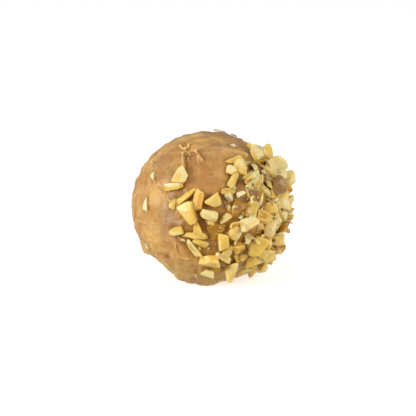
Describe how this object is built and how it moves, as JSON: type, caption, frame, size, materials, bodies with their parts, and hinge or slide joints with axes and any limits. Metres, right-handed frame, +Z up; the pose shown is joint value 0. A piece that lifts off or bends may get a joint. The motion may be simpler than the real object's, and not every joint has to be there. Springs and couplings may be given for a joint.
{
  "type": "hot chocolate sphere",
  "caption": "Hand-coated milk chocolate ball with chopped nuts stuck in the coat of one side, standing on a small flat spot.",
  "frame": {"origin": "centre of the small flat spot that the ball stands on", "axes": "+Z up, -Y towards the front that is seen first, +X to the right, where most of the nuts are"},
  "size_m": [0.054, 0.0536, 0.0494],
  "materials": {
    "milk_chocolate": "satin tan milk chocolate with smears",
    "chopped_nuts": "pale yellow, slightly translucent cut nut"
  },
  "bodies": {
    "root": {"chocolate_sphere": "milk_chocolate"}
  },
  "joints": []
}
